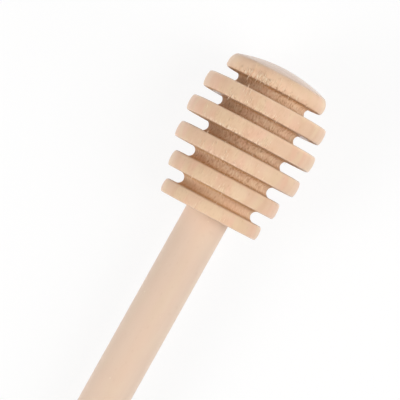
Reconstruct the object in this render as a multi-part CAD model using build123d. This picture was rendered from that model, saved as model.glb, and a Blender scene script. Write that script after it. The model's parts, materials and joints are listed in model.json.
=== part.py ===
from build123d import *

import os
from math import asin, atan2, degrees, hypot, sqrt

# A honey dipper in pale beech, lying on a table with its head towards +X. It is two pieces:
# a turned, grooved head with a blind bore, and a plain round handle glued into that bore.
# Lengths are in millimetres.

# Head, one turned block, measured up its own axis from its flat underside
base_disc_thickness = 3.15
disc_thickness = 3.65
groove_width = 2.52
last_groove_width = 2.26  # the groove under the cap
cap_height = 5.22
widest_radius = 14.9
disc_radius_shares = [0.778, 0.86, 0.971, 1.0, 0.95]  # of widest_radius, from the base up
core_radius = 8.74
floor_radius_shares = [0.926, 1.0, 0.997, 0.992, 0.916]  # of core_radius, from the base up
rim_crown = 0.3  # each rim swells this far past its corners
rim_edge_radius = 0.6

# Cap, the head's domed end
cap_radius = 11.52
cap_taper = 0.9  # the rim draws in this far on its way up to the dome
cap_swell_share = 0.3  # of the rim's height, where the cap is widest
cap_dome_radius = 32.5
cap_edge_radius = 1.0

# Bore, blind and true to the head's axis, with the flat floor and spur mark of its bit
bore_clearance = 0.08
bore_floor_room = 0.5  # left for glue past the handle's end
spur_radius = 1.2
spur_depth = 1.0

# Handle, a plain round stick with one end eased for the bore
handle_radius = 5.0
handle_length = 140.0
tenon_length = 15.0
tenon_tip_radius = 4.74
tenon_chamfer = 0.5
butt_edge_radius = 1.5

# Cuts start this far outside what they cut
overrun = 1.0

# Places up the head's axis, from the underside
disc_thicknesses = [base_disc_thickness] + [disc_thickness] * (len(disc_radius_shares) - 1)
disc_radii = [widest_radius * share for share in disc_radius_shares]
disc_bottoms = [sum(disc_thicknesses[:i]) + groove_width * i for i in range(len(disc_radii))]
disc_tops = [bottom + thickness for bottom, thickness in zip(disc_bottoms, disc_thicknesses)]
groove_tops = disc_bottoms[1:] + [disc_tops[-1] + last_groove_width]
cap_bottom = groove_tops[-1]
apex = cap_bottom + cap_height
bore_radius = handle_radius + bore_clearance
bore_depth = tenon_length + bore_floor_room
butt_place = tenon_length - handle_length

# The eased end is a loose fit, and the handle stands out of true until its tip meets the wall
lean = degrees(atan2(bore_radius - tenon_tip_radius, tenon_length))


def crown_radius(thickness):
    # the arc through a rim's two corners and its swollen middle
    return (rim_crown**2 + (thickness / 2) ** 2) / (2 * rim_crown)


def disc_section(bottom, top, radius):
    corner = radius - rim_crown
    rim = ThreePointArc((corner, bottom), (radius, (bottom + top) / 2), (corner, top))
    sides = Polyline((corner, top), (0, top), (0, bottom), (corner, bottom))
    disc = make_face([rim, sides])
    return fillet(disc.vertices().sort_by(Axis.X)[-2:], rim_edge_radius)


def neck_section(bottom, top, floor_radius):
    # the wood left under a groove, whose floor is a half circle across the whole width
    wall_start = floor_radius + (top - bottom) / 2
    floor = ThreePointArc(
        (wall_start, bottom), (floor_radius, (bottom + top) / 2), (wall_start, top)
    )
    sides = Polyline((wall_start, top), (0, top), (0, bottom), (wall_start, bottom))
    return make_face([floor, sides])


def cap_section():
    dome_corner = cap_radius - cap_taper
    dome_drop = cap_dome_radius - sqrt(cap_dome_radius**2 - dome_corner**2)
    rim_top = apex - dome_drop
    low_corner = (cap_radius - rim_crown, cap_bottom)
    widest = (cap_radius, cap_bottom + cap_swell_share * (rim_top - cap_bottom))
    rim = ThreePointArc(low_corner, widest, (dome_corner, rim_top))
    dome = TangentArc((0, apex), (dome_corner, rim_top), tangent=(1, 0))
    sides = Polyline((0, apex), (0, cap_bottom), low_corner)
    cap = make_face([rim, dome, sides])
    outer = cap.vertices().sort_by(Axis.X)[-2:].sort_by(Axis.Y)
    cap = fillet(outer[0], rim_edge_radius)
    top_corner = cap.vertices().sort_by_distance((dome_corner, rim_top))[0]
    return fillet(top_corner, cap_edge_radius)


def turned(section):
    # a section drawn as radius and height, spun round the upright axis
    return revolve(Plane.XZ * section, Axis.Z)


def make_head():
    section = cap_section()
    for bottom, top, radius in zip(disc_bottoms, disc_tops, disc_radii):
        section += disc_section(bottom, top, radius)
    for bottom, top, share in zip(disc_tops, groove_tops, floor_radius_shares):
        section += neck_section(bottom, top, core_radius * share)
    up = (Align.CENTER, Align.CENTER, Align.MIN)
    bore = Pos(0, 0, -overrun) * Cylinder(bore_radius, bore_depth + overrun, align=up)
    spur_mark = Pos(0, 0, bore_depth) * Cone(spur_radius, 0, spur_depth, align=up)
    return turned(section) - bore - spur_mark


def make_handle():
    # the bore's mouth is at height zero, with the tenon above it
    outline = Polyline(
        (0, tenon_length),
        (tenon_tip_radius, tenon_length),
        (handle_radius, 0),
        (handle_radius, butt_place),
        (0, butt_place),
        close=True,
    )
    section = make_face(outline)
    tip_corner = section.vertices().group_by(Axis.Y)[-1].sort_by(Axis.X)[-1]
    section = chamfer(tip_corner, tenon_chamfer)
    butt_corner = section.vertices().group_by(Axis.Y)[0].sort_by(Axis.X)[-1]
    return turned(fillet(butt_corner, butt_edge_radius))


def lying_tilt(bottom, top, radius):
    # slope of the line that a rim's crown and the butt's rounded edge both rest on
    crown = crown_radius(top - bottom)
    run = (bottom + top) / 2 - (butt_place + butt_edge_radius)
    rise = (radius - crown) - (handle_radius - butt_edge_radius)
    return degrees(atan2(rise, run) - asin((butt_edge_radius - crown) / hypot(run, rise)))


tilt = max(lying_tilt(*rim) for rim in zip(disc_bottoms, disc_tops, disc_radii))

# Head and handle meet at the bore's mouth; the head leans sideways, as seen from above
lay_down = Rot(Y=90 - tilt)
head = lay_down * Rot(X=-lean) * make_head()
handle = lay_down * make_handle()
box = Compound([head, handle]).bounding_box()
to_table = Pos(-box.center().X, -box.center().Y, -box.min.Z)

os.makedirs("parts", exist_ok=True)
export_step(to_table * head, "parts/head.step")
export_step(to_table * handle, "parts/handle.step")

print(f"overall {box.size.X:.2f} x {box.size.Y:.2f} x {box.size.Z:.2f}")
print(f"head length {apex:.2f}, lying tilt {tilt:.2f} deg, lean {lean:.2f} deg")
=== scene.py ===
import json
import math

import bpy
from mathutils import Matrix, Vector


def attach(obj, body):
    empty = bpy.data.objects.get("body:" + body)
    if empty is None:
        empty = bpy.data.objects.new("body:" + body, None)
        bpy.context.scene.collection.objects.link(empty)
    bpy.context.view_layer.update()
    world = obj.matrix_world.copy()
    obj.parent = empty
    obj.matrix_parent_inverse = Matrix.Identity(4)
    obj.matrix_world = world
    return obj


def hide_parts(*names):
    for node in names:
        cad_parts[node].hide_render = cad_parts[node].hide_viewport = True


# A turned beech honey dipper: a grooved head glued on a plain round stick, lying on a pale floor
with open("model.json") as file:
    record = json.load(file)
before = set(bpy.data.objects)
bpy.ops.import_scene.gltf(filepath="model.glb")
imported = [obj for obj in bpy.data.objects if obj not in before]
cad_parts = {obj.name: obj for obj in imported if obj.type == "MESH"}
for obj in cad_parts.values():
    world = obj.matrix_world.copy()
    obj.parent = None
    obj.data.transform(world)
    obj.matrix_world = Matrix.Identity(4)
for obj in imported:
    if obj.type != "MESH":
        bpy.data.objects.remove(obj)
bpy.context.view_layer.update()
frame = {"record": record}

mm = 0.001


def linearColour(hexText):
    # sRGB hex to the linear colour that the shaders take
    parts = [int(hexText[i:i + 2], 16) / 255 for i in (1, 3, 5)]
    return [c / 12.92 if c <= 0.04045 else ((c + 0.055) / 1.055) ** 2.4 for c in parts] + [1.0]


def addNode(tree, kind, settings, inputs):
    # one node; an input takes a constant, a socket, or another node's first live output
    node = tree.nodes.new(kind)
    for name, value in settings.items():
        setattr(node, name, value)
    for key, value in inputs.items():
        live = [socket for socket in node.inputs if socket.enabled]
        target = live[key] if isinstance(key, int) else next(s for s in live if s.name == key)
        if isinstance(value, bpy.types.Node):
            value = next(socket for socket in value.outputs if socket.enabled)
        if isinstance(value, bpy.types.NodeSocket):
            tree.links.new(value, target)
        else:
            target.default_value = value
    return node


# Both pieces are round, so each has its own upright: z up its axis from the bore's mouth,
# x towards the camera and y to the picture's right
mounts = {mount["name"]: mount for mount in frame["record"]["mounts"]}
handleRun = mounts["handle_run"]
stickAxis = -Vector(handleRun["axis"]).normalized()
headAxis = -Vector(mounts["head_shoulder"]["axis"]).normalized()
stickRadius = handleRun["dims"]["r_mm"]
boreMouth = Vector(handleRun["pos_m"]) + stickAxis * (handleRun["dims"]["length_mm"] * mm / 2)
worldLeft = Vector((0, 1, 0))
facing = stickAxis.cross(worldLeft).normalized()


def turningPlace(axis):
    # from a piece's upright to where it lies
    turn = Matrix((facing, axis.cross(facing).normalized(), axis)).transposed()
    return Matrix.Translation(boreMouth) @ turn.to_4x4()


# Camera, looking down on the plane of both axes from above the head's lower discs
camera = {
    "framePx": 400,
    "pxPerMm": 4.69,  # in the plane of the axes
    "mouthPx": (207.38, 215.48),  # where the bore's mouth shows
    "stickLeanDeg": 29.245,  # the stick leans this far to the right of upright
    "aboveMm": 5.4,  # how far up the head the camera stands
    "distanceMm": 640,
    "nearestMm": 10,  # nothing nearer shows
    "sensorMm": 36,
}


def makeCamera(v):
    lean = math.radians(v["stickLeanDeg"])
    right = stickAxis * math.sin(lean) - worldLeft * math.cos(lean)
    up = stickAxis * math.cos(lean) + worldLeft * math.sin(lean)
    centre = v["framePx"] / 2
    aside = (centre - v["mouthPx"][0]) * mm / v["pxPerMm"]
    above = (v["mouthPx"][1] - centre) * mm / v["pxPerMm"]
    aim = boreMouth + right * aside + up * above
    data = bpy.data.cameras.new("camera")
    data.sensor_width = v["sensorMm"]
    data.lens = v["sensorMm"] * v["distanceMm"] * v["pxPerMm"] / v["framePx"]
    data.clip_start = v["nearestMm"] * mm
    thing = bpy.data.objects.new("camera", data)
    place = boreMouth + headAxis * v["aboveMm"] * mm + facing * v["distanceMm"] * mm
    back = (place - aim).normalized()
    across = up.cross(back).normalized()
    turn = Matrix((across, back.cross(across), back)).transposed().to_4x4()
    thing.matrix_world = Matrix.Translation(place) @ turn
    bpy.context.collection.objects.link(thing)
    bpy.context.scene.camera = thing


makeCamera(camera)
print("camera set")


# Outlines of what is turned, as radius and height in millimetres
def arcPoints(centre, radius, start, end, gap):
    # along an arc, in radians from the outward direction
    count = max(2, math.ceil(abs(end - start) * radius / gap))
    turns = [start + (end - start) * i / count for i in range(count + 1)]
    return [(centre[0] + radius * math.cos(a), centre[1] + radius * math.sin(a)) for a in turns]


def joinPoints(points, more, gap):
    # carries points on to more in a straight run, with no point twice
    run = math.dist(points[-1], more[0])
    count = math.ceil(run / gap)
    start, end = points[-1], more[0]
    steps = [(start[0] + (end[0] - start[0]) * i / count, start[1] + (end[1] - start[1]) * i / count)
             for i in range(1, count)]
    same = run < gap / 100
    return points + (more[1:] if same else steps + more)


def circleThrough(a, b, c):
    ab, ac = Vector(b) - Vector(a), Vector(c) - Vector(a)
    twist = 2 * (ab.x * ac.y - ab.y * ac.x)
    offset = Vector((ac.y * ab.length_squared - ab.y * ac.length_squared,
                     ab.x * ac.length_squared - ac.x * ab.length_squared)) / twist
    return Vector(a) + offset, offset.length


def roundInside(first, second, radius):
    # centre of the round that touches two circles from inside, to the left of the line between them
    reachOne, reachTwo = first[1] - radius, second[1] - radius
    between = second[0] - first[0]
    along = (reachOne ** 2 - reachTwo ** 2 + between.length_squared) / (2 * between.length)
    aside = math.sqrt(reachOne ** 2 - along ** 2)
    line = between.normalized()
    return first[0] + line * along + Vector((-line.y, line.x)) * aside


def angleFrom(centre, point):
    return math.atan2(point[1] - centre[1], point[0] - centre[0])


# Head, in millimetres up its own axis from its flat underside
head = {
    "baseDisc": 3.15,
    "disc": 3.65,
    "groove": 2.52,
    "lastGroove": 2.26,
    "widestRadius": 14.9,
    "discShares": (0.778, 0.86, 0.971, 1.0, 0.95),  # of the widest radius, from the base up
    "coreRadius": 8.74,
    "floorShares": (0.926, 1.0, 0.997, 0.992, 0.916),
    "rimCrown": 0.3,
    "rimEdge": 0.6,
    "lowerEdge": 0.4,  # the edges towards the handle are left crisper
    "capThickness": 5.22,
    "capRadius": 11.52,
    "capTaper": 0.9,
    "capSwellShare": 0.3,
    "capDome": 32.5,
    "capEdge": 1.0,
    "boreClearance": 0.08,
    "boreDepth": 15.5,
    "spurRadius": 1.2,
    "spurDepth": 1.0,
    "boreLip": 0.06,  # the edge of its mouth is broken this much
    "flatGap": 0.75,  # between the outline's points on flats, rims and edges
    "rimGap": 0.36,
    "edgeGap": 0.2,
    "stepsRound": 376,
    "ripple": 0.012,  # how far the tool's ripple and the torn nicks move the surface
    "nick": 0.13,
    "seed": 34.0,
    "tornReach": 1.1,  # the grain is torn this far round a disc's lower edge
    "capTornReach": 1.7,
    "tornShares": (0.4, 0.6, 0.8, 1.0, 1.2, 2.2),  # how badly, from the base disc to the cap
    "worstSideDeg": -12,  # round the head from the camera's side, where the cutter met the grain worst
    "otherSides": 0.05,  # how much of that the sides between have
    "rimTorn": 0.15,  # what the rims have of it between their edges
    "clumpMm": 1.1,  # torn patches are about this long
    "wornReach": 0.9,  # the upper edges get a painted highlight this far from their corners
    "capWorn": 0.65,  # the cap's rim gets nearly as much painted light, up to its shoulder
    "capWornTop": 3.1,
    "grooveReach": 0.6,  # the raw wood of a groove starts this far in from the rim
}


def discOutline(v, bottom, thickness, radius):
    # up round a crowned rim, from the lower flat to the upper one
    half, crown = thickness / 2, v["rimCrown"]
    crownRadius = (crown ** 2 + half ** 2) / (2 * crown)
    centre = (radius - crownRadius, bottom + half)
    places, turns = [], []
    for side, edge in ((-1, v["lowerEdge"]), (1, v["rimEdge"])):
        out = math.sqrt((crownRadius - edge) ** 2 - (half - edge) ** 2)
        places.append((centre[0] + out, centre[1] + side * (half - edge)))
        turns.append(side * math.atan2(half - edge, out))
    points = arcPoints(places[0], v["lowerEdge"], -math.pi / 2, turns[0], v["edgeGap"])
    rim = arcPoints(centre, crownRadius, *turns, v["rimGap"])
    upper = arcPoints(places[1], v["rimEdge"], turns[1], math.pi / 2, v["edgeGap"])
    return points + rim[1:] + upper[1:]


def capOutline(v, bottom):
    # up round the cap's swelling rim and over its dome to the axis
    dome = (Vector((0, bottom + v["capThickness"] - v["capDome"])), v["capDome"])
    corner = v["capRadius"] - v["capTaper"]
    rimTop = dome[0].y + math.sqrt(v["capDome"] ** 2 - corner ** 2)
    widest = (v["capRadius"], bottom + v["capSwellShare"] * (rimTop - bottom))
    rim = circleThrough((v["capRadius"] - v["rimCrown"], bottom), widest, (corner, rimTop))
    edge = v["lowerEdge"]
    rise = bottom + edge - rim[0].y
    low = (rim[0].x + math.sqrt((rim[1] - edge) ** 2 - rise ** 2), bottom + edge)
    shoulder = roundInside(rim, dome, v["capEdge"])
    lowTurn, highTurn = angleFrom(rim[0], low), angleFrom(rim[0], shoulder)
    domeTurn = angleFrom(dome[0], shoulder)
    points = arcPoints(low, edge, -math.pi / 2, lowTurn, v["edgeGap"])
    points += arcPoints(rim[0], rim[1], lowTurn, highTurn, v["edgeGap"])[1:]
    points += arcPoints(shoulder, v["capEdge"], highTurn, domeTurn, v["edgeGap"])[1:]
    top = arcPoints(dome[0], v["capDome"], domeTurn, math.pi / 2, v["flatGap"])[1:-1]
    return points + top + [(0, bottom + v["capThickness"])]


def headOutline(v):
    # the points up from the bore's end to the dome, and each rim's lower corner, with each groove over it
    bore, lip = stickRadius + v["boreClearance"], v["boreLip"]
    points = [(0, v["boreDepth"] + v["spurDepth"]), (v["spurRadius"], v["boreDepth"])]
    points += [(bore, v["boreDepth"]), (bore, lip), (bore + lip, 0)]
    bottom, thickness = 0, v["baseDisc"]
    corners, grooves = [], []
    widths = [v["groove"]] * (len(v["discShares"]) - 1) + [v["lastGroove"]]
    for share, floorShare, width in zip(v["discShares"], v["floorShares"], widths):
        radius = v["widestRadius"] * share
        points = joinPoints(points, discOutline(v, bottom, thickness, radius), v["flatGap"])
        corners.append((radius - v["rimCrown"], bottom))
        top, half = bottom + thickness, width / 2
        grooves.append((top, top + width))
        centre = (v["coreRadius"] * floorShare + half, top + half)
        floor = arcPoints(centre, half, math.pi * 1.5, math.pi / 2, v["rimGap"])
        points = joinPoints(points, floor, v["flatGap"])
        bottom, thickness = top + width, v["disc"]
    corners.append((v["capRadius"] - v["rimCrown"], bottom))
    return joinPoints(points, capOutline(v, bottom), v["flatGap"]), corners, grooves


def marksAt(v, point, corners, grooves):
    # how torn the grain is, how much painted highlight the upper edges and the cap's rim get, and how deep
    # in a groove, each from 0 to 1
    reaches = [v["tornReach"]] * len(v["discShares"]) + [v["capTornReach"]]
    torn = max(share * max(0, 1 - math.dist(point, corner) / reach)
               for corner, reach, share in zip(corners, reaches, v["tornShares"]))
    edges = [(corner[0], groove[0]) for corner, groove in zip(corners, grooves)]
    worn = max(max(0, 1 - math.dist(point, edge) / v["wornReach"]) for edge in edges)
    # painted light on the cap's rim, fading out towards its shoulder
    rise = point[1] - corners[-1][1]
    if rise > 0:
        worn = max(worn, v["capWorn"] * min(1, max(0, v["capWornTop"] - rise)))
    deep = 0
    for lower, upper, (low, high) in zip(corners, corners[1:], grooves):
        if low <= point[1] <= high:
            rim = lower[0] if point[1] - low < high - point[1] else upper[0]
            deep = min(1, max(0, (rim + v["rimCrown"] - point[0]) / v["grooveReach"]))
    return max(torn, v["rimTorn"] * (1 - deep)), worn, deep


def outlineObject(name, points, marks):
    # a string of points for the lathe, each with the marks that its material reads
    mesh = bpy.data.meshes.new(name)
    places = [(radius * mm, 0, height * mm) for radius, height in points]
    mesh.from_pydata(places, [(i, i + 1) for i in range(len(points) - 1)], [])
    flat = [value for mark in marks for value in mark]
    mesh.attributes.new("marks", "FLOAT_VECTOR", "POINT").data.foreach_set("vector", flat)
    thing = bpy.data.objects.new(name, mesh)
    bpy.context.collection.objects.link(thing)
    return thing


def newTree(name, inputs):
    # a Geometry Nodes tree with a mesh in and out and named inputs
    tree = bpy.data.node_groups.new(name, "GeometryNodeTree")
    tree.interface.new_socket(name="Geometry", in_out="INPUT", socket_type="NodeSocketGeometry")
    tree.interface.new_socket(name="Geometry", in_out="OUTPUT", socket_type="NodeSocketGeometry")
    for label, kind in inputs.items():
        tree.interface.new_socket(name=label, in_out="INPUT", socket_type="NodeSocket" + kind)
    return tree, tree.nodes.new("NodeGroupInput").outputs


# How the cutter leaves the wood: rippled all over, and nicked in clumps where it tears the grain
cutter = {
    "sameMm": 0.002,  # points nearer than this are one
    "sidePower": 6.0,  # the higher, the narrower the two torn sides
    "clumpNoise": (0.38, 0.62),  # where clumps start, and where they are in full
    "betweenClumps": 0.25,  # how much of the tearing is left there
    "rippleCells": (1800, 1800, 600),  # of noise in a metre, longer up the grain
    "nickCells": (2600, 2600, 900),
    "nickNoise": (0.5, 0.72),
}


def makeLatheTree(v):
    # turns a string of points into a closed solid of revolution and roughens it as a cutter does
    tree, given = newTree("turnOnLathe", {
        "Steps round": "Int", "Ripple": "Float", "Nick depth": "Float", "Worst side": "Float",
        "Other sides": "Float", "Clump": "Float", "Seed": "Float", "Material": "Material",
    })
    size = addNode(tree, "GeometryNodeAttributeDomainSize", {"component": "MESH"},
                   {"Geometry": given["Geometry"]})
    columns = addNode(tree, "ShaderNodeMath", {"operation": "ADD"}, {0: given["Steps round"], 1: 1.0})
    grid = addNode(tree, "GeometryNodeMeshGrid", {},
                   {"Vertices X": size.outputs["Point Count"], "Vertices Y": columns})
    index = addNode(tree, "GeometryNodeInputIndex", {}, {})
    rowShare = addNode(tree, "ShaderNodeMath", {"operation": "DIVIDE"}, {0: index, 1: columns})
    row = addNode(tree, "ShaderNodeMath", {"operation": "FLOOR"}, {0: rowShare})
    column = addNode(tree, "ShaderNodeMath", {"operation": "MODULO"}, {0: index, 1: columns})
    turnShare = addNode(tree, "ShaderNodeMath", {"operation": "DIVIDE"},
                        {0: column, 1: given["Steps round"]})
    angle = addNode(tree, "ShaderNodeMath", {"operation": "MULTIPLY"}, {0: turnShare, 1: math.tau})
    place = addNode(tree, "GeometryNodeInputPosition", {}, {})
    place = addNode(tree, "GeometryNodeSampleIndex", {"data_type": "FLOAT_VECTOR"},
                    {"Geometry": given["Geometry"], "Value": place, "Index": row})
    turned = addNode(tree, "ShaderNodeVectorRotate", {"rotation_type": "Z_AXIS"},
                     {"Vector": place, "Angle": angle})
    marks = addNode(tree, "GeometryNodeInputNamedAttribute", {"data_type": "FLOAT_VECTOR"},
                    {"Name": "marks"})
    rowMarks = addNode(tree, "GeometryNodeSampleIndex", {"data_type": "FLOAT_VECTOR"},
                       {"Geometry": given["Geometry"], "Value": marks, "Index": row})
    onPoints = {"data_type": "FLOAT_VECTOR", "domain": "POINT"}
    stored = addNode(tree, "GeometryNodeStoreNamedAttribute", onPoints,
                     {"Geometry": grid, "Name": "marks", "Value": rowMarks})
    shaped = addNode(tree, "GeometryNodeSetPosition", {}, {"Geometry": stored, "Position": turned})
    closed = addNode(tree, "GeometryNodeMergeByDistance", {},
                     {"Geometry": shaped, "Distance": v["sameMm"] * mm})
    outward = addNode(tree, "GeometryNodeFlipFaces", {}, {"Mesh": closed})
    # a cutter tears the grain on two opposite sides, and there in clumps
    position = addNode(tree, "GeometryNodeInputPosition", {}, {})
    parts = addNode(tree, "ShaderNodeSeparateXYZ", {}, {"Vector": position})
    side = addNode(tree, "ShaderNodeMath", {"operation": "ARCTAN2"},
                   {0: parts.outputs["Y"], 1: parts.outputs["X"]})
    side = addNode(tree, "ShaderNodeMath", {"operation": "SUBTRACT"}, {0: side, 1: given["Worst side"]})
    wave = addNode(tree, "ShaderNodeMath", {"operation": "COSINE"}, {0: side})
    wave = addNode(tree, "ShaderNodeMath", {"operation": "POWER"}, {0: wave, 1: v["sidePower"]})
    sideShare = addNode(tree, "ShaderNodeMapRange", {},
                        {"Value": wave, "To Min": given["Other sides"], "To Max": 1.0})
    clumpAt = addNode(tree, "ShaderNodeMath", {"operation": "DIVIDE"}, {0: 1.0, 1: given["Clump"]})
    clump = addNode(tree, "ShaderNodeTexNoise", {"noise_dimensions": "4D"},
                    {"Vector": position, "W": given["Seed"], "Scale": clumpAt, "Detail": 1.0})
    clumpShare = addNode(tree, "ShaderNodeMapRange", {"interpolation_type": "SMOOTHSTEP"}, {
        "Value": clump, "From Min": v["clumpNoise"][0], "From Max": v["clumpNoise"][1],
        "To Min": v["betweenClumps"], "To Max": 1.0})
    patchy = addNode(tree, "ShaderNodeMath", {"operation": "MULTIPLY"}, {0: sideShare, 1: clumpShare})
    patchy = addNode(tree, "ShaderNodeCombineXYZ", {}, {"X": patchy, "Y": 1.0, "Z": 1.0})
    patchyMarks = addNode(tree, "ShaderNodeVectorMath", {"operation": "MULTIPLY"},
                          {0: marks, 1: patchy})
    patchyMarks = addNode(tree, "ShaderNodeVectorMath", {"operation": "MINIMUM"},
                          {0: patchyMarks, 1: (1, 1, 1)})
    outward = addNode(tree, "GeometryNodeStoreNamedAttribute", onPoints,
                      {"Geometry": outward, "Name": "marks", "Value": patchyMarks})
    # the grain runs up the axis, so the ripple and the nicks are long that way
    rippleGrain = addNode(tree, "ShaderNodeVectorMath", {"operation": "MULTIPLY"},
                          {0: position, 1: v["rippleCells"]})
    ripple = addNode(tree, "ShaderNodeTexNoise", {"noise_dimensions": "4D"},
                     {"Vector": rippleGrain, "W": given["Seed"], "Scale": 1.0, "Detail": 2.0})
    rippleOut = addNode(tree, "ShaderNodeMapRange", {"clamp": False},
                        {"Value": ripple, "From Min": 0.0, "From Max": 1.0, "To Min": -1.0, "To Max": 1.0})
    rippleOut = addNode(tree, "ShaderNodeMath", {"operation": "MULTIPLY"},
                        {0: rippleOut, 1: given["Ripple"]})
    nickGrain = addNode(tree, "ShaderNodeVectorMath", {"operation": "MULTIPLY"},
                        {0: position, 1: v["nickCells"]})
    nick = addNode(tree, "ShaderNodeTexNoise", {"noise_dimensions": "4D"},
                   {"Vector": nickGrain, "W": given["Seed"], "Scale": 1.0, "Detail": 1.0})
    nickIn = addNode(tree, "ShaderNodeMapRange", {},
                     {"Value": nick, "From Min": v["nickNoise"][0], "From Max": v["nickNoise"][1]})
    torn = addNode(tree, "ShaderNodeSeparateXYZ", {}, {"Vector": marks})
    for share in (torn, given["Nick depth"]):
        nickIn = addNode(tree, "ShaderNodeMath", {"operation": "MULTIPLY"}, {0: nickIn, 1: share})
    move = addNode(tree, "ShaderNodeMath", {"operation": "SUBTRACT"}, {0: rippleOut, 1: nickIn})
    normal = addNode(tree, "GeometryNodeInputNormal", {}, {})
    move = addNode(tree, "ShaderNodeVectorMath", {"operation": "SCALE"}, {"Vector": normal, "Scale": move})
    rough = addNode(tree, "GeometryNodeSetPosition", {}, {"Geometry": outward, "Offset": move})
    smooth = addNode(tree, "GeometryNodeSetShadeSmooth", {}, {"Geometry": rough, "Shade Smooth": True})
    plain = addNode(tree, "GeometryNodeRealizeInstances", {}, {"Geometry": smooth})
    finish = addNode(tree, "GeometryNodeSetMaterial", {},
                     {"Geometry": plain, "Material": given["Material"]})
    addNode(tree, "NodeGroupOutput", {}, {"Geometry": finish})
    return tree


def applyTree(source, tree, values, name):
    # runs a tree on an object and keeps the result as a plain mesh
    modifier = source.modifiers.new(tree.name, "NODES")
    modifier.node_group = tree
    for item in tree.interface.items_tree:
        if item.in_out == "INPUT" and item.name in values:
            modifier[item.identifier] = values[item.name]
    source.update_tag()
    graph = bpy.context.evaluated_depsgraph_get()
    mesh = bpy.data.meshes.new_from_object(source.evaluated_get(graph), depsgraph=graph)
    source.modifiers.remove(modifier)
    mesh.name = name
    piece = bpy.data.objects.new(name, mesh)
    bpy.context.collection.objects.link(piece)
    return piece


# Splinters that the cutter lifted where the grain is torn, in millimetres
fibres = {
    "perSquareMm": 26.0,  # where the grain is torn worst
    "tearingPower": 2.0,  # the higher, the more they keep to the worst of it
    "leaning": (0.35, 0.7),  # as the surface turns up or down, they thin out between these
    "shortest": 0.25,
    "longest": 0.7,
    "thinnest": 0.03,  # in radius, at the root
    "thickest": 0.06,
    "tipShare": 0.15,  # of that radius
    "curl": 2.0,  # of the tip, in those radii
    "spinePoints": 5,
    "sides": 4,
    "leastLiftDeg": 3,
    "mostLiftDeg": 13,
    "swayRadians": 0.3,  # either way round the head
    "hangingShare": 0.12,
    "seed": 5,
}


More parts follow.
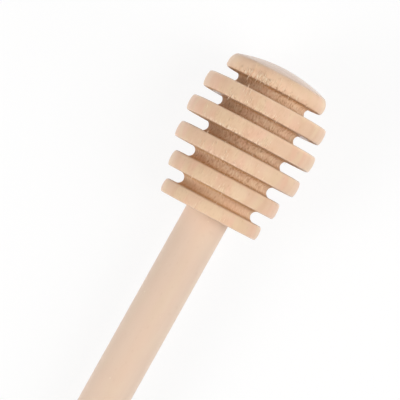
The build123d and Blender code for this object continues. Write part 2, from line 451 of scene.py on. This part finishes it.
def makeFibreTree(v):
    # scatters short broken fibres over torn grain; each lies nearly along the axis and curls outwards
    tree, given = newTree("liftFibres", {
        "Fibres": "Float", "Shortest": "Float", "Longest": "Float", "Thinnest": "Float",
        "Thickest": "Float", "Least lift": "Float", "Most lift": "Float", "Hanging share": "Float",
        "Seed": "Int", "Material": "Material",
    })
    position = addNode(tree, "GeometryNodeInputPosition", {}, {})
    parts = addNode(tree, "ShaderNodeSeparateXYZ", {}, {"Vector": position})
    side = addNode(tree, "ShaderNodeMath", {"operation": "ARCTAN2"},
                   {0: parts.outputs["Y"], 1: parts.outputs["X"]})
    marks = addNode(tree, "GeometryNodeInputNamedAttribute", {"data_type": "FLOAT_VECTOR"},
                    {"Name": "marks"})
    torn = addNode(tree, "ShaderNodeSeparateXYZ", {}, {"Vector": marks})
    amount = addNode(tree, "ShaderNodeMath", {"operation": "POWER"}, {0: torn, 1: v["tearingPower"]})
    amount = addNode(tree, "ShaderNodeMath", {"operation": "MULTIPLY"}, {0: amount, 1: given["Fibres"]})
    # none on the flats, only where the surface faces outwards
    normal = addNode(tree, "GeometryNodeInputNormal", {}, {})
    faces = addNode(tree, "ShaderNodeSeparateXYZ", {}, {"Vector": normal})
    steep = addNode(tree, "ShaderNodeMath", {"operation": "ABSOLUTE"}, {0: faces.outputs["Z"]})
    outFacing = addNode(tree, "ShaderNodeMapRange", {}, {
        "Value": steep, "From Min": v["leaning"][0], "From Max": v["leaning"][1],
        "To Min": 1.0, "To Max": 0.0})
    amount = addNode(tree, "ShaderNodeMath", {"operation": "MULTIPLY"}, {0: amount, 1: outFacing})
    roots = addNode(tree, "GeometryNodeDistributePointsOnFaces", {},
                    {"Mesh": given["Geometry"], "Density": amount, "Seed": given["Seed"]})
    # one splinter, a unit long and a unit in radius, tapered and curled
    spine = addNode(tree, "GeometryNodeCurvePrimitiveLine", {}, {"Start": (0, 0, 0), "End": (0, 0, 1)})
    spine = addNode(tree, "GeometryNodeResampleCurve", {}, {"Curve": spine, "Count": v["spinePoints"]})
    along = addNode(tree, "GeometryNodeSplineParameter", {}, {})
    curl = addNode(tree, "ShaderNodeMath", {"operation": "POWER"}, {0: along.outputs["Factor"], 1: 2.0})
    curl = addNode(tree, "ShaderNodeMath", {"operation": "MULTIPLY"}, {0: curl, 1: v["curl"]})
    curl = addNode(tree, "ShaderNodeCombineXYZ", {}, {"X": curl})
    spine = addNode(tree, "GeometryNodeSetPosition", {}, {"Geometry": spine, "Offset": curl})
    taper = addNode(tree, "ShaderNodeMapRange", {},
                    {"Value": along.outputs["Factor"], "To Min": 1.0, "To Max": v["tipShare"]})
    spine = addNode(tree, "GeometryNodeSetCurveRadius", {}, {"Curve": spine, "Radius": taper})
    ring = addNode(tree, "GeometryNodeCurvePrimitiveCircle", {}, {"Resolution": v["sides"], "Radius": 1.0})
    splinter = addNode(tree, "GeometryNodeCurveToMesh", {},
                       {"Curve": spine, "Profile Curve": ring, "Fill Caps": True})
    # a few hang down over the edge and the rest stand up from it
    seeds = [addNode(tree, "ShaderNodeMath", {"operation": "ADD"}, {0: given["Seed"], 1: float(i)})
             for i in range(1, 6)]
    lift = addNode(tree, "FunctionNodeRandomValue", {"data_type": "FLOAT"},
                   {"Min": given["Least lift"], "Max": given["Most lift"], "Seed": seeds[0]})
    hangs = addNode(tree, "FunctionNodeRandomValue", {"data_type": "BOOLEAN"},
                    {"Probability": given["Hanging share"], "Seed": seeds[1]})
    hanging = addNode(tree, "ShaderNodeMath", {"operation": "SUBTRACT"}, {0: math.pi, 1: lift})
    lift = addNode(tree, "GeometryNodeSwitch", {"input_type": "FLOAT"},
                   {"Switch": hangs, "False": lift, "True": hanging})
    sway = addNode(tree, "FunctionNodeRandomValue", {"data_type": "FLOAT"},
                   {"Min": -v["swayRadians"], "Max": v["swayRadians"], "Seed": seeds[2]})
    turned = addNode(tree, "ShaderNodeMath", {"operation": "ADD"}, {0: side, 1: sway})
    turn = addNode(tree, "ShaderNodeCombineXYZ", {}, {"Y": lift, "Z": turned})
    thick = addNode(tree, "FunctionNodeRandomValue", {"data_type": "FLOAT"},
                    {"Min": given["Thinnest"], "Max": given["Thickest"], "Seed": seeds[3]})
    long = addNode(tree, "FunctionNodeRandomValue", {"data_type": "FLOAT"},
                   {"Min": given["Shortest"], "Max": given["Longest"], "Seed": seeds[4]})
    size = addNode(tree, "ShaderNodeCombineXYZ", {}, {"X": thick, "Y": thick, "Z": long})
    planted = addNode(tree, "GeometryNodeInstanceOnPoints", {},
                      {"Points": roots, "Instance": splinter, "Rotation": turn, "Scale": size})
    plain = addNode(tree, "GeometryNodeRealizeInstances", {}, {"Geometry": planted})
    smooth = addNode(tree, "GeometryNodeSetShadeSmooth", {}, {"Geometry": plain, "Shade Smooth": True})
    finish = addNode(tree, "GeometryNodeSetMaterial", {},
                     {"Geometry": smooth, "Material": given["Material"]})
    addNode(tree, "NodeGroupOutput", {}, {"Geometry": finish})
    return tree


# Handle, in millimetres up its own axis from the bore's mouth, with its far end below
handle = {
    "length": 140.0,
    "tenon": 15.0,
    "tipRadius": 4.74,
    "tipChamfer": 0.5,
    "buttEdge": 1.5,
    "pointGap": 0.9,
    "edgeGap": 0.25,
    "axisGap": 0.2,  # the end faces' innermost points are this far from the axis
    "stepsRound": 160,
    "ripple": 0.006,  # sanded finer than the head
    "seed": 8.0,
}


def handleOutline(v):
    butt, tip = v["tenon"] - v["length"], v["tenon"]
    edge, chamfer = v["buttEdge"], v["tipChamfer"]
    points = [(0, butt), (v["axisGap"], butt)]
    rounded = arcPoints((stickRadius - edge, butt + edge), edge, -math.pi / 2, 0, v["edgeGap"])
    eased = [(v["tipRadius"], tip - chamfer), (v["tipRadius"] - chamfer, tip)]
    for more in (rounded, [(stickRadius, 0)], eased, [(v["axisGap"], tip), (0, tip)]):
        points = joinPoints(points, more, v["pointGap"])
    return points


def makeHandle(v, material):
    points = handleOutline(v)
    source = outlineObject("handleOutline", points, [(0, 0, 0)] * len(points))
    piece = applyTree(source, latheTree, {
        "Steps round": v["stepsRound"], "Ripple": v["ripple"] * mm, "Nick depth": 0.0, "Worst side": 0.0,
        "Other sides": 0.0, "Clump": 1.0, "Seed": v["seed"], "Material": material,
    }, "handleStick")
    bpy.data.objects.remove(source)
    return piece


def makeHead(v, material):
    points, corners, grooves = headOutline(v)
    marks = [marksAt(v, point, corners, grooves) for point in points]
    source = outlineObject("headOutline", points, marks)
    piece = applyTree(source, latheTree, {
        "Steps round": v["stepsRound"], "Ripple": v["ripple"] * mm, "Nick depth": v["nick"] * mm,
        "Worst side": math.radians(v["worstSideDeg"]), "Other sides": v["otherSides"],
        "Clump": v["clumpMm"] * mm, "Seed": v["seed"], "Material": material,
    }, "headTurned")
    bpy.data.objects.remove(source)
    return piece


def makeFibres(v, headPiece, material):
    # run on the head while it still stands upright
    return applyTree(headPiece, makeFibreTree(v), {
        "Fibres": v["perSquareMm"] / mm ** 2, "Shortest": v["shortest"] * mm, "Longest": v["longest"] * mm,
        "Thinnest": v["thinnest"] * mm, "Thickest": v["thickest"] * mm,
        "Least lift": math.radians(v["leastLiftDeg"]), "Most lift": math.radians(v["mostLiftDeg"]),
        "Hanging share": v["hangingShare"], "Seed": v["seed"], "Material": material,
    }, "tornFibres")


# Beech, pale and close-grained, cut along the grain. The eye gets fine streaks up the axis, short
# brown ray flecks, a faint pink and yellow mottle, and ringed, dotted end grain on flats and dome
headWood = {
    "pale": "#E9C6A9",
    "warm": "#DEB592",
    "pink": "#E9BA9E",
    "yellow": "#E7CAA5",
    "fleck": "#C99E79",
    # painted highlight, for the upper edges and the cap's rim
    "worn": "#F9D7B5",
    # painted shade in the torn pits, and painted highlight on the raised fibres
    "pit": "#A26C40",
    "lifted": "#FBEBD3",
    # the end grain's own colour, made paler and pinker as painted sheen and light on the dome
    "endGrain": "#DEBFA8",
    # raw groove floor, made paler as painted light in the grooves
    "grooveFloor": "#E8CAA8",
    # end grain inside the grooves, darker partly as its own colour and partly as painted shade of the
    # recess
    "grooveWall": "#D4A979",
    "endRing": "#C79F7E",
    "pore": "#B98F6C",
    "ray": "#EAD0B4",
    "grainSeed": 0.0,
    "pithMm": (-55, 14),  # the middle of the tree, from the piece's axis
    "ringMm": 2.4,
    "ringWanderMm": 5.0,
    "ringDark": (0.3, 0.72),  # each ring darkens between these shares of its width
    # patches, by their size across the grain and along it
    "streakMm": (0.16, 2.2),
    "pitMm": (0.18, 0.5),
    "mottleMm": (1.8, 3.6),
    "driftMm": (4.5, 12.6),
    # the noise at which they start, and at which they are in full
    "mottleNoise": (0.48, 0.62),
    "pitNoise": (0.54, 0.66),
    "liftedNoise": (0.48, 0.36),
    # spots, by their cell's size across the rays, along them and up the axis
    "fleckMm": (0.6, 7.0, 1.9),
    "poreMm": (0.2, 0.2, 4.0),  # beech has them twice as fine, too fine to show
    "rayMm": (0.35, 2.5, 4.0),
    "dentMm": (3.0, 3.0, 3.0),  # small dents, each with a painted highlight
    # how much of a cell they fill: in full to the first, and faded out at the second
    "fleckFill": (0.1, 0.26),
    "poreFill": (0.2, 0.4),
    "rayFill": (0.05, 0.2),
    "dentFill": (0.03, 0.1),
    # how strongly each shows
    "streakShare": 0.3,
    "ringShare": 0.3,
    "driftShare": 0.45,
    "mottleShare": 0.5,
    "fleckShare": 0.2,
    "wornShare": 0.45,
    "dentShare": 0.25,
    "endRingShare": 0.25,
    "poreShare": 0.5,
    "rayShare": 0.5,
    "rawShare": 0.5,  # the grooves are left raw, and their floors are painted a little paler than the burnished rims as painted light
    "floorPitShare": 0.46,  # how much of the worst tearing a groove's floor has
    "cleanBelowMm": 5.7,  # the lowest groove, up to here, has half of that
    "tornAboveMm": 9.3,
    "endFacing": (0.5, 0.95),  # end grain starts where the surface faces this far up or down the axis
    "roughness": (0.28, 0.44),  # along the streaks, burnished with a handful of shavings
    "endRoughness": 0.24,
    "grooveRoughness": 0.75,
    "ior": 1.5,
    "sheen": 0.1,  # the fuzz of unfinished wood
    "sheenRoughness": 0.45,
    "bumpMm": 0.02,  # the depth of torn grain, in which the next two are counted
    "streakDepth": 0.35,
    "dentDepth": 0.5,
}
# the same wood in its lifted fibres, painted paler as a highlight on fibres that catch the light
litFibreWood = {**headWood, "pale": "#FAE8D0", "warm": "#F2D9BC", "pit": "#EACBA8"}
# plain sanded stick, from a paler, fast-grown tree
handleWood = {
    **headWood,
    "pale": "#E6CDB9",
    "warm": "#DBBA9E",
    "pink": "#E3C4AF",
    "yellow": "#E3CFB4",
    "fleck": "#CCAB8E",
    "endGrain": "#D2B295",
    "pithMm": (38.7, -47.8),
    "ringMm": 7.0,
    "ringWanderMm": 2.5,
    "mottleMm": (2.0, 4.0),
    "streakShare": 0.15,
    "ringShare": 0.26,
    "driftShare": 0.24,
    "mottleShare": 0.18,
    "fleckShare": 0.12,
    "dentShare": 0.38,
    "bumpMm": 0.008,
    "dentDepth": 3.0,
}


def grainPlaces(tree, v, place):
    # in millimetres: the piece's own upright, and places across the rays, along them and up the axis
    back = place.inverted()
    coordinates = addNode(tree, "ShaderNodeTexCoord", {}, {})
    upright = addNode(tree, "ShaderNodeMapping", {}, {
        "Vector": coordinates.outputs["Object"], "Location": back.to_translation() / mm,
        "Rotation": back.to_euler(), "Scale": (1 / mm, 1 / mm, 1 / mm)})
    fromPith = addNode(tree, "ShaderNodeVectorMath", {"operation": "SUBTRACT"},
                       {0: upright, 1: (*v["pithMm"], 0)})
    parts = addNode(tree, "ShaderNodeSeparateXYZ", {}, {"Vector": fromPith})
    flat = addNode(tree, "ShaderNodeCombineXYZ", {}, {"X": parts.outputs["X"], "Y": parts.outputs["Y"]})
    reach = addNode(tree, "ShaderNodeVectorMath", {"operation": "LENGTH"}, {0: flat}).outputs["Value"]
    turn = addNode(tree, "ShaderNodeMath", {"operation": "ARCTAN2"},
                   {0: parts.outputs["Y"], 1: parts.outputs["X"]})
    aside = addNode(tree, "ShaderNodeMath", {"operation": "MULTIPLY"},
                    {0: turn, 1: math.hypot(*v["pithMm"])})
    return upright, (aside, reach, parts.outputs["Z"])


def patchesOf(tree, upright, size, offset, detail):
    # noise in patches of about this size across the grain and along it
    across, along = size
    at = addNode(tree, "ShaderNodeVectorMath", {"operation": "MULTIPLY"},
                 {0: upright, 1: (0.5 / across, 0.5 / across, 0.5 / along)})
    return addNode(tree, "ShaderNodeTexNoise", {"noise_dimensions": "4D"},
                   {"Vector": at, "W": offset, "Scale": 1.0, "Detail": detail})


def spotsOf(tree, places, sizes, fill):
    # soft spots, one in each cell
    parts = [addNode(tree, "ShaderNodeMath", {"operation": "DIVIDE"}, {0: part, 1: size})
             for part, size in zip(places, sizes)]
    at = addNode(tree, "ShaderNodeCombineXYZ", {}, {0: parts[0], 1: parts[1], 2: parts[2]})
    cells = addNode(tree, "ShaderNodeTexVoronoi", {"feature": "F1"}, {"Vector": at, "Scale": 1.0})
    return addNode(tree, "ShaderNodeMapRange", {"interpolation_type": "SMOOTHSTEP"}, {
        "Value": cells.outputs["Distance"], "From Min": fill[0], "From Max": fill[1],
        "To Min": 1.0, "To Max": 0.0})


def beech(name, v, place):
    wood = bpy.data.materials.new(name)
    wood.use_nodes = True
    tree = wood.node_tree
    tree.nodes.clear()
    upright, places = grainPlaces(tree, v, place)
    reach, up = places[1:]
    marks = addNode(tree, "ShaderNodeAttribute", {"attribute_name": "marks"}, {}).outputs["Vector"]
    marks = addNode(tree, "ShaderNodeSeparateXYZ", {}, {"Vector": marks})
    torn, worn, deep = marks.outputs
    # growth rings, darkest near each ring's outer edge, and wandering with the slow drift of colour
    drift = patchesOf(tree, upright, v["driftMm"], v["grainSeed"], 3.0)
    ringAt = addNode(tree, "ShaderNodeMath", {"operation": "MULTIPLY_ADD"},
                     {0: drift, 1: v["ringWanderMm"], 2: reach})
    ringAt = addNode(tree, "ShaderNodeMath", {"operation": "DIVIDE"}, {0: ringAt, 1: v["ringMm"]})
    ring = addNode(tree, "ShaderNodeMath", {"operation": "FRACT"}, {0: ringAt})
    ring = addNode(tree, "ShaderNodeMath", {"operation": "PINGPONG"}, {0: ring, 1: v["ringDark"][1]})
    ring = addNode(tree, "ShaderNodeMapRange", {"interpolation_type": "SMOOTHSTEP"},
                   {"Value": ring, "From Min": v["ringDark"][0], "From Max": v["ringDark"][1]})
    # fibre streaks, and thin sheets of rays, seen edge on round the outside
    streak = patchesOf(tree, upright, v["streakMm"], v["grainSeed"] + 1, 2.0)
    fleck = spotsOf(tree, places, v["fleckMm"], v["fleckFill"])
    # torn grain: pits darkened with painted shade and raised fibres paled with painted highlight, worst at
    # the lower edges and on the grooves' floors
    pits = patchesOf(tree, upright, v["pitMm"], v["grainSeed"] + 2, 2.0)
    floorTorn = addNode(tree, "ShaderNodeMapRange", {}, {
        "Value": up, "From Min": v["cleanBelowMm"], "From Max": v["tornAboveMm"],
        "To Min": v["floorPitShare"] / 2, "To Max": v["floorPitShare"]})
    floorTorn = addNode(tree, "ShaderNodeMath", {"operation": "MULTIPLY"}, {0: floorTorn, 1: deep})
    roughHere = addNode(tree, "ShaderNodeMath", {"operation": "MAXIMUM"}, {0: floorTorn, 1: torn})
    tears = []
    for start, full in (v["pitNoise"], v["liftedNoise"]):
        tear = addNode(tree, "ShaderNodeMapRange", {}, {"Value": pits, "From Min": start, "From Max": full})
        tears.append(addNode(tree, "ShaderNodeMath", {"operation": "MULTIPLY"}, {0: tear, 1: roughHere}))
    pit, lifted = tears
    dent = spotsOf(tree, places, v["dentMm"], v["dentFill"])
    # end grain, where the surface cuts across the fibres: rings, dots of pores and pale lines of rays
    normal = addNode(tree, "ShaderNodeNewGeometry", {}, {}).outputs["Normal"]
    grainAxis = place.to_3x3() @ Vector((0, 0, 1))
    cut = addNode(tree, "ShaderNodeVectorMath", {"operation": "DOT_PRODUCT"}, {0: normal, 1: grainAxis})
    cut = addNode(tree, "ShaderNodeMath", {"operation": "ABSOLUTE"}, {0: cut.outputs["Value"]})
    cut = addNode(tree, "ShaderNodeMapRange", {"interpolation_type": "SMOOTHSTEP"},
                  {"Value": cut, "From Min": v["endFacing"][0], "From Max": v["endFacing"][1]})
    pore = spotsOf(tree, places, v["poreMm"], v["poreFill"])
    ray = spotsOf(tree, places, v["rayMm"], v["rayFill"])
    # inside the grooves the end grain takes the darker wall colour, partly painted shade
    endColour = addNode(tree, "ShaderNodeMix", {"data_type": "RGBA"}, {
        "Factor": deep, "A": linearColour(v["endGrain"]), "B": linearColour(v["grooveWall"])})
    for mark, share, tint in ((ring, "endRingShare", "endRing"), (pore, "poreShare", "pore"),
                              (ray, "rayShare", "ray")):
        factor = addNode(tree, "ShaderNodeMath", {"operation": "MULTIPLY"}, {0: mark, 1: v[share]})
        endColour = addNode(tree, "ShaderNodeMix", {"data_type": "RGBA"},
                            {"Factor": factor, "A": endColour, "B": linearColour(v[tint])})
    # colour along the grain
    warmth = 0.0
    for mark, share in ((streak, "streakShare"), (ring, "ringShare"), (drift, "driftShare")):
        warmth = addNode(tree, "ShaderNodeMath", {"operation": "MULTIPLY_ADD"},
                         {0: mark, 1: v[share], 2: warmth})
    colour = addNode(tree, "ShaderNodeMix", {"data_type": "RGBA"},
                     {"Factor": warmth, "A": linearColour(v["pale"]), "B": linearColour(v["warm"])})
    for offset, tint in ((3, "pink"), (4, "yellow")):
        mottle = patchesOf(tree, upright, v["mottleMm"], v["grainSeed"] + offset, 1.0)
        mottle = addNode(tree, "ShaderNodeMapRange", {"interpolation_type": "SMOOTHSTEP"}, {
            "Value": mottle, "From Min": v["mottleNoise"][0], "From Max": v["mottleNoise"][1],
            "To Max": v["mottleShare"]})
        colour = addNode(tree, "ShaderNodeMix", {"data_type": "RGBA"},
                         {"Factor": mottle, "A": colour, "B": linearColour(v[tint])})
    # groove floors: raw wood, made paler as painted light
    rawAndLit = addNode(tree, "ShaderNodeMath", {"operation": "MULTIPLY"}, {0: deep, 1: v["rawShare"]})
    for factor, tint in ((rawAndLit, linearColour(v["grooveFloor"])), (cut, endColour)):
        colour = addNode(tree, "ShaderNodeMix", {"data_type": "RGBA"},
                         {"Factor": factor, "A": colour, "B": tint})
    fleck = addNode(tree, "ShaderNodeMath", {"operation": "MULTIPLY"}, {0: fleck, 1: v["fleckShare"]})
    # painted highlight along the upper edges and over the cap's rim
    worn = addNode(tree, "ShaderNodeMath", {"operation": "MULTIPLY"}, {0: worn, 1: v["wornShare"]})
    # painted highlight in each dent
    dentHighlight = addNode(tree, "ShaderNodeMath", {"operation": "MULTIPLY"}, {0: dent, 1: v["dentShare"]})
    # painted shade in the pits and painted highlight on the raised fibres
    for factor, tint in ((fleck, "fleck"), (worn, "worn"), (pit, "pit"), (lifted, "lifted"),
                         (dentHighlight, "lifted")):
        colour = addNode(tree, "ShaderNodeMix", {"data_type": "RGBA"},
                         {"Factor": factor, "A": colour, "B": linearColour(v[tint])})
    # relief
    height = addNode(tree, "ShaderNodeMath", {"operation": "SUBTRACT"}, {0: lifted, 1: pit})
    for mark, depth in ((streak, v["streakDepth"]), (dent, -v["dentDepth"])):
        height = addNode(tree, "ShaderNodeMath", {"operation": "MULTIPLY_ADD"},
                         {0: mark, 1: depth, 2: height})
    relief = addNode(tree, "ShaderNodeBump", {},
                     {"Height": height, "Strength": 1.0, "Distance": v["bumpMm"] * mm})
    polish = addNode(tree, "ShaderNodeMapRange", {},
                     {"Value": streak, "To Min": v["roughness"][0], "To Max": v["roughness"][1]})
    for factor, dulled in ((cut, "endRoughness"), (deep, "grooveRoughness")):
        polish = addNode(tree, "ShaderNodeMix", {"data_type": "FLOAT"},
                         {"Factor": factor, "A": polish, "B": v[dulled]})
    surface = addNode(tree, "ShaderNodeBsdfPrincipled", {}, {
        "Base Color": colour, "Roughness": polish, "IOR": v["ior"], "Normal": relief,
        "Sheen Weight": v["sheen"], "Sheen Roughness": v["sheenRoughness"]})
    addNode(tree, "ShaderNodeOutputMaterial", {}, {"Surface": surface})
    return wood


def floorMaterial(v):
    # pale seamless paper, lit mostly by itself for the camera, so it shows near white with a soft shadow
    paper = bpy.data.materials.new("palePaper")
    paper.use_nodes = True
    tree = paper.node_tree
    tree.nodes.clear()
    path = addNode(tree, "ShaderNodeLightPath", {}, {})
    seen = addNode(tree, "ShaderNodeMath", {"operation": "MULTIPLY"},
                   {0: path.outputs["Is Camera Ray"], 1: v["ownLight"]})
    for kind in ("Is Glossy Ray", "Is Transmission Ray"):
        seen = addNode(tree, "ShaderNodeMath", {"operation": "ADD"}, {0: seen, 1: path.outputs[kind]})
    matt = addNode(tree, "ShaderNodeBsdfDiffuse", {}, {"Color": linearColour(v["paper"])})
    white = addNode(tree, "ShaderNodeEmission", {}, {"Color": (1, 1, 1, 1), "Strength": 1.0})
    mix = addNode(tree, "ShaderNodeMixShader", {}, {"Fac": seen, 1: matt, 2: white})
    addNode(tree, "ShaderNodeOutputMaterial", {}, {"Surface": mix})
    return paper


def makeFloor(v):
    mesh = bpy.data.meshes.new("floor")
    half, level = v["halfWidth"], v["height"]
    corners = [(x * half, y * half, level) for x, y in ((-1, -1), (1, -1), (1, 1), (-1, 1))]
    mesh.from_pydata(corners, [], [(0, 1, 2, 3)])
    mesh.materials.append(floorMaterial(v))
    floor = bpy.data.objects.new("floor", mesh)
    bpy.context.collection.objects.link(floor)


def makeWorld(v):
    # white to the camera and to gloss, softer as light
    world = bpy.data.worlds.new("studio")
    bpy.context.scene.world = world
    world.use_nodes = True
    tree = world.node_tree
    tree.nodes.clear()
    path = addNode(tree, "ShaderNodeLightPath", {}, {})
    seen = path.outputs["Is Camera Ray"]
    for kind in ("Is Glossy Ray", "Is Transmission Ray"):
        seen = addNode(tree, "ShaderNodeMath", {"operation": "ADD", "use_clamp": True},
                       {0: seen, 1: path.outputs[kind]})
    strength = addNode(tree, "ShaderNodeMapRange", {},
                       {"Value": seen, "To Min": v["worldLight"], "To Max": 1.0})
    light = addNode(tree, "ShaderNodeBackground", {}, {"Color": (1, 1, 1, 1), "Strength": strength})
    addNode(tree, "ShaderNodeOutputWorld", {}, {"Surface": light})


def makeLamp(name, toward, size, watts):
    # a soft panel that faces the bore's mouth, and isn't itself seen in the gloss
    across, along, out = toward
    place = boreMouth + headAxis.cross(facing) * across + headAxis * along + facing * out
    data = bpy.data.lights.new(name, "AREA")
    data.shape = "SQUARE"
    data.size = size
    data.energy = watts
    lamp = bpy.data.objects.new(name, data)
    lamp.visible_glossy = False
    turn = (place - boreMouth).to_track_quat("Z", "Y").to_matrix().to_4x4()
    lamp.matrix_world = Matrix.Translation(place) @ turn
    bpy.context.collection.objects.link(lamp)


# Floor, world and lamps, in metres
stage = {
    "halfWidth": 2.0,
    "height": 0.0,
    "paper": "#FDFCFB",
    "ownLight": 0.86,  # how much of the white that the camera sees is the paper's own
    "worldLight": 0.15,  # on the dipper; the camera sees 1, which is white
}
# each by its place to the head's right, up its axis and towards the camera, then size and watts
lamps = {
    "rightKey": ((0.694, 0.0, 0.399), 0.4, 1.55),
    "frontKey": ((0.399, 0.0, 0.694), 0.4, 1.85),
    "rightTop": ((0.497, 0.264, 0.569), 0.4, 1.15),
    "leftFill": ((-0.497, -0.264, 0.569), 0.4, 1.3),
    "handleFill": ((-0.48, -0.48, 0.424), 0.4, 2.8),
    "crown": ((0.0, 0.788, 0.137), 0.4, 1.55),
}

bpy.context.scene.view_settings.view_transform = "Standard"
latheTree = makeLatheTree(cutter)
headPlace, stickPlace = turningPlace(headAxis), turningPlace(stickAxis)
headPiece = makeHead(head, beech("turnedBeech", headWood, headPlace))
print("head turned")
fibrePiece = makeFibres(fibres, headPiece, beech("liftedBeech", litFibreWood, headPlace))
print("fibres lifted", len(fibrePiece.data.polygons))
handlePiece = makeHandle(handle, beech("sandedBeech", handleWood, stickPlace))
print("handle turned")
for piece, place in ((headPiece, headPlace), (fibrePiece, headPlace), (handlePiece, stickPlace)):
    piece.data.transform(place)
    piece.data.update()
    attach(piece, "root")
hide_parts("head")
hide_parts("handle")
makeFloor(stage)
makeWorld(stage)
for name, (toward, size, watts) in lamps.items():
    makeLamp(name, toward, size, watts)
print("stage lit")
